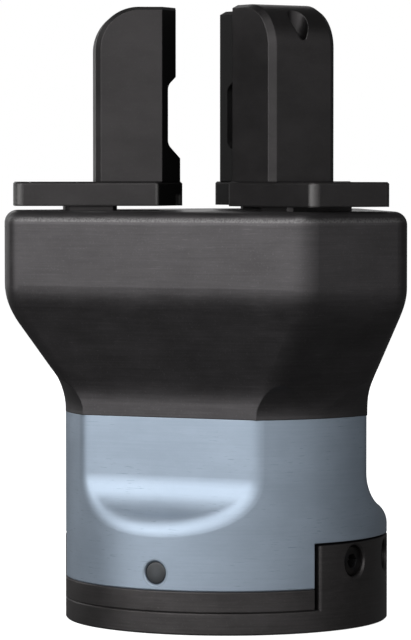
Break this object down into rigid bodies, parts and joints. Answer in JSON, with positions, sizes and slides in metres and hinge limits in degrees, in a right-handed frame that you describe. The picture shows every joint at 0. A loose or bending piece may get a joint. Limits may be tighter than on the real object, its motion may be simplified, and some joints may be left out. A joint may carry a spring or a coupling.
{
  "type": "electric gripper",
  "caption": "Electric centric gripper with a flared black head on a blue-grey round body, and wedge-tipped fingers that slide inward together by a pinion and racks.",
  "frame": {"origin": "centre of the robot bolt circle, on the mounting face under the flange", "axes": "+Z from the mounting face towards the fingertips, -X along the first jaw's outward travel"},
  "size_m": [0.0892, 0.1014, 0.1416],
  "materials": {
    "black_anodised": "black anodised, satin",
    "head_black": "black anodised, fine brushed",
    "jaw_black": "black anodised, satin",
    "body_blue_grey": "blue-grey anodised, fine brushed",
    "black_screw": "black oxide",
    "steel": "ground steel",
    "plain_aluminium": "turned",
    "copper": "enamelled copper",
    "magnet": "nickel plated",
    "board": "solder mask",
    "brass": "nickel plated",
    "black_plastic": "moulded",
    "seal_rubber": "plain",
    "smoked_lens": "smoked, polished"
  },
  "bodies": {
    "housing": {"base_cover": "black_anodised", "base_cover_screws": "black_screw", "board_screws": "steel", "body_housing": "body_blue_grey", "controller_board": "board", "driver_board": "board", "encoder_board": "board", "flange_screws": "black_screw", "gearbox_flange": "plain_aluminium", "gearbox_screws": "steel", "guide_rails": "steel", "head_housing": "head_black", "motor_bearings": "steel", "motor_can": "plain_aluminium", "motor_end_bell": "plain_aluminium", "motor_plate": "plain_aluminium", "mounting_flange": "black_anodised", "output_bearings": "steel", "power_socket": "brass", "rail_screws": "steel", "ring_gear": "steel", "seals": "seal_rubber", "socket_insert": "black_plastic", "standoffs": "brass", "stator_core": "steel", "stator_windings": "copper", "status_lens": "smoked_lens", "tie_bolts": "steel", "top_cover": "head_black", "top_cover_screws": "black_screw"},
    "drive": {"planet_carrier": "steel", "planet_pins": "steel", "drive_pinion": "steel", "pinion_screw": "steel"},
    "rotor": {"motor_shaft": "steel", "rotor_magnet": "magnet", "sun_gear": "steel", "encoder_magnet": "magnet"},
    "jaw_1": {"carriage_1": "steel", "jaw_slide_1": "jaw_black", "rack_1": "steel", "jaw_plate_1": "jaw_black", "finger_1": "jaw_black", "jaw_screws_1": "black_screw"},
    "planet_1": {"planet_gear_1": "steel"},
    "jaw_2": {"carriage_2": "steel", "jaw_slide_2": "jaw_black", "rack_2": "steel", "jaw_plate_2": "jaw_black", "finger_2": "jaw_black", "jaw_screws_2": "black_screw"},
    "planet_2": {"planet_gear_2": "steel"},
    "jaw_3": {"carriage_3": "steel", "jaw_slide_3": "jaw_black", "rack_3": "steel", "jaw_plate_3": "jaw_black", "finger_3": "jaw_black", "jaw_screws_3": "black_screw"},
    "planet_3": {"planet_gear_3": "steel"}
  },
  "joints": [
    {"name": "jaw_1_slide", "type": "slide", "parent": "housing", "child": "jaw_1", "axis": [1, 0, 0], "range_m": [0, 0.01]},
    {"name": "jaw_2_slide", "type": "slide", "parent": "housing", "child": "jaw_2", "axis": [-0.5, 0.866, 0], "range_m": [0, 0.01]},
    {"name": "jaw_3_slide", "type": "slide", "parent": "housing", "child": "jaw_3", "axis": [-0.5, -0.866, 0], "range_m": [0, 0.01]},
    {"name": "pinion_turn", "type": "hinge", "parent": "housing", "child": "drive", "pos_m": [0, 0, 0.0876], "axis": [0, 0, 1], "range_deg": [0, 68.31]},
    {"name": "motor_turn", "type": "hinge", "parent": "housing", "child": "rotor", "pos_m": [0, 0, 0.0404], "axis": [0, 0, 1], "range_deg": [0, 273.04]},
    {"name": "planet_1_turn", "type": "hinge", "parent": "drive", "child": "planet_1", "pos_m": [-0.01125, 0, 0.0596], "axis": [0, 0, 1], "range_deg": [-204.83, 0]},
    {"name": "planet_2_turn", "type": "hinge", "parent": "drive", "child": "planet_2", "pos_m": [0.00562, -0.00974, 0.0596], "axis": [0, 0, 1], "range_deg": [-204.83, 0]},
    {"name": "planet_3_turn", "type": "hinge", "parent": "drive", "child": "planet_3", "pos_m": [0.00562, 0.00974, 0.0596], "axis": [0, 0, 1], "range_deg": [-204.83, 0]}
  ],
  "couplings": [
    {"joint": "jaw_2_slide", "follows": "jaw_1_slide", "ratio": 1},
    {"joint": "jaw_3_slide", "follows": "jaw_1_slide", "ratio": 1},
    {"joint": "pinion_turn", "follows": "jaw_1_slide", "rad_per_m": 119.05},
    {"joint": "motor_turn", "follows": "jaw_1_slide", "rad_per_m": 476.19},
    {"joint": "planet_1_turn", "follows": "jaw_1_slide", "rad_per_m": -357.14},
    {"joint": "planet_2_turn", "follows": "jaw_1_slide", "rad_per_m": -357.14},
    {"joint": "planet_3_turn", "follows": "jaw_1_slide", "rad_per_m": -357.14}
  ]
}
